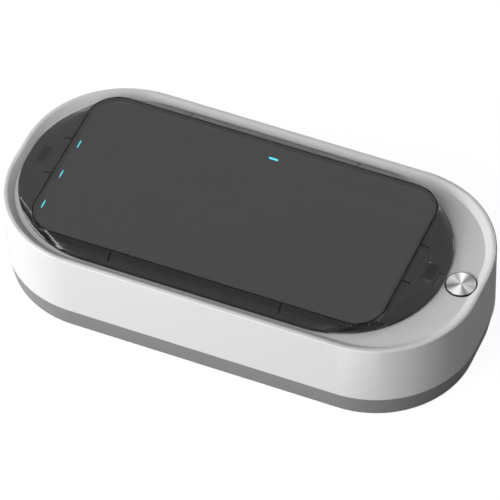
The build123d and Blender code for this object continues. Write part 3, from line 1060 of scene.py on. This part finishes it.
@dataclass
class Studio:
    """White floor, pale surroundings, soft lamps and the camera.

    Attributes:
        lamps: the studio's lamps.
        sky_colour: sRGB hex of the surroundings where they are seen or mirrored.
        sky_level: share of that brightness with which they light the box.
        floor_size_m: width of the square floor.
        floor_bounce: sRGB hex of the floor where it only lights the box.
        floor_level: brightness of the floor's white, which comes to 1 with its share of paint.
        floor_gloss: share of that white in what polished surfaces mirror of the floor.
        shadow_share: share of real paint in the floor that is looked at, which carries the shadow.
        azimuth_deg: side that the camera stands on, 0 for +X and -90 for the front.
        elevation_deg: its height above the floor, as an angle.
        roll_deg: its turn about its line of sight.
        distance_m: its distance from the point that it aims at.
        target_height_m: height of that point above the middle of the floor.
        slide_right_m: how far the camera then slides to its right.
        slide_up_m: how far it slides up.
        lens_mm: focal length of its lens.
        sensor_mm: width of its sensor.
        sight_m: how far it sees.
    """

    lamps: tuple[SoftBox, ...] = (
        LEFT_PANEL, FRONT_PANEL, FRONT_FILL, TOP_FILL, REAR_PANEL, KICKER
    )
    sky_colour: str = "#e7e7e7"
    sky_level: float = 0.10
    floor_size_m: float = 12.0
    floor_bounce: str = "#707070"
    floor_level: float = 1.13
    floor_gloss: float = 0.2
    shadow_share: float = 0.16
    azimuth_deg: float = -66.308
    elevation_deg: float = 48.480
    roll_deg: float = -1.158
    distance_m: float = 2.22692
    target_height_m: float = 0.01802
    slide_right_m: float = 0.0002416
    slide_up_m: float = 0.0039536
    lens_mm: float = 360.1
    sensor_mm: float = 36.0
    sight_m: float = 20.0

    def build(self) -> None:
        """Set the stage, the lamps and the camera."""
        self.floor()
        self.world()
        for lamp in self.lamps:
            lamp.place()
        self.camera()
        bpy.context.scene.view_settings.view_transform = "Standard"

    def floor(self) -> None:
        """Lay a large floor: white with a soft shadow to the eye, and grey where it lights."""
        bpy.ops.object.select_all(action="DESELECT")
        bpy.ops.mesh.primitive_plane_add(size=self.floor_size_m, location=(0, 0, 0))
        floor = bpy.context.active_object
        floor.name = "studio_floor"
        material = bpy.data.materials.new("white studio floor")
        blank(material)
        path = node(material, "ShaderNodeLightPath")
        colour = node(
            material,
            "ShaderNodeMix",
            {MIX_FACTOR: path.outputs["Is Diffuse Ray"]},
            {MIX_A: WHITE, MIX_B: linear(self.floor_bounce)},
            data_type="RGBA",
        )
        paint = node(material, "ShaderNodeBsdfDiffuse", {"Color": colour.outputs[MIX_RESULT]})
        white = node(
            material,
            "ShaderNodeEmission",
            inputs={"Color": WHITE, "Strength": self.floor_level},
        )
        share = node(
            material,
            "ShaderNodeMath",
            {0: self.seen(material, path, self.floor_gloss)},
            {1: 1 - self.shadow_share},
            operation="MULTIPLY",
        )
        mix = node(
            material,
            "ShaderNodeMixShader",
            {0: share.outputs[0], 1: paint.outputs["BSDF"], 2: white.outputs["Emission"]},
        )
        node(material, "ShaderNodeOutputMaterial", {"Surface": mix.outputs["Shader"]})
        floor.data.materials.append(material)

    @staticmethod
    def seen(owner: NodeOwner, path: bpy.types.Node, gloss: float = 1.0) -> bpy.types.NodeSocket:
        """Tell what is looked at, mirrored or seen through glass from what only lights the box.

        Args:
            owner: the material or world that gets the nodes.
            path: its Light Path node.
            gloss: share that is kept in glossy rays.

        Returns:
            1 for camera and transmission rays, gloss for glossy rays, 0 for the rest.
        """
        mirrored = node(
            owner,
            "ShaderNodeMath",
            {0: path.outputs["Is Glossy Ray"], 2: path.outputs["Is Transmission Ray"]},
            {1: gloss},
            operation="MULTIPLY_ADD",
        )
        return node(
            owner,
            "ShaderNodeMath",
            {0: path.outputs["Is Camera Ray"], 1: mirrored.outputs[0]},
            operation="MAXIMUM",
        ).outputs[0]

    def world(self) -> None:
        """Surround the box with pale grey, and dim it where it only lights the box."""
        world = bpy.data.worlds.new("studio")
        blank(world)
        path = node(world, "ShaderNodeLightPath")
        level = node(
            world,
            "ShaderNodeMapRange",
            {"Value": self.seen(world, path)},
            {"To Min": self.sky_level, "To Max": 1.0},
        )
        background = node(
            world,
            "ShaderNodeBackground",
            {"Strength": level.outputs["Result"]},
            {"Color": linear(self.sky_colour)},
        )
        node(world, "ShaderNodeOutputWorld", {"Surface": background.outputs["Background"]})
        bpy.context.scene.world = world

    def camera(self) -> None:
        """Place the long-lens camera from its angles round the box."""
        azimuth, roll = math.radians(self.azimuth_deg), math.radians(self.roll_deg)
        back = direction(self.azimuth_deg, self.elevation_deg)
        level_right = Vector((-math.sin(azimuth), math.cos(azimuth), 0))
        level_up = back.cross(level_right)
        right = level_right * math.cos(roll) + level_up * math.sin(roll)
        up = level_up * math.cos(roll) - level_right * math.sin(roll)
        place = back * self.distance_m + right * self.slide_right_m + up * self.slide_up_m
        place.z += self.target_height_m
        data = bpy.data.cameras.new("camera")
        data.lens = self.lens_mm
        data.sensor_width = self.sensor_mm
        data.clip_end = self.sight_m
        camera = bpy.data.objects.new("camera", data)
        bpy.context.scene.collection.objects.link(camera)
        camera.matrix_world = Matrix(
            (
                (right.x, up.x, back.x, place.x),
                (right.y, up.y, back.y, place.y),
                (right.z, up.z, back.z, place.z),
                (0, 0, 0, 1),
            )
        )
        bpy.context.scene.camera = camera


def main() -> None:
    """Build the box's finished pieces in order, then the studio."""
    shop = Workshop()
    for assembly in (Body(), Chamber(), Electronics(), StartButton(), Lid()):
        LOG.info("building %s", type(assembly).__name__)
        assembly.build(shop)
    Studio().build()


if __name__ == "__main__":
    main()
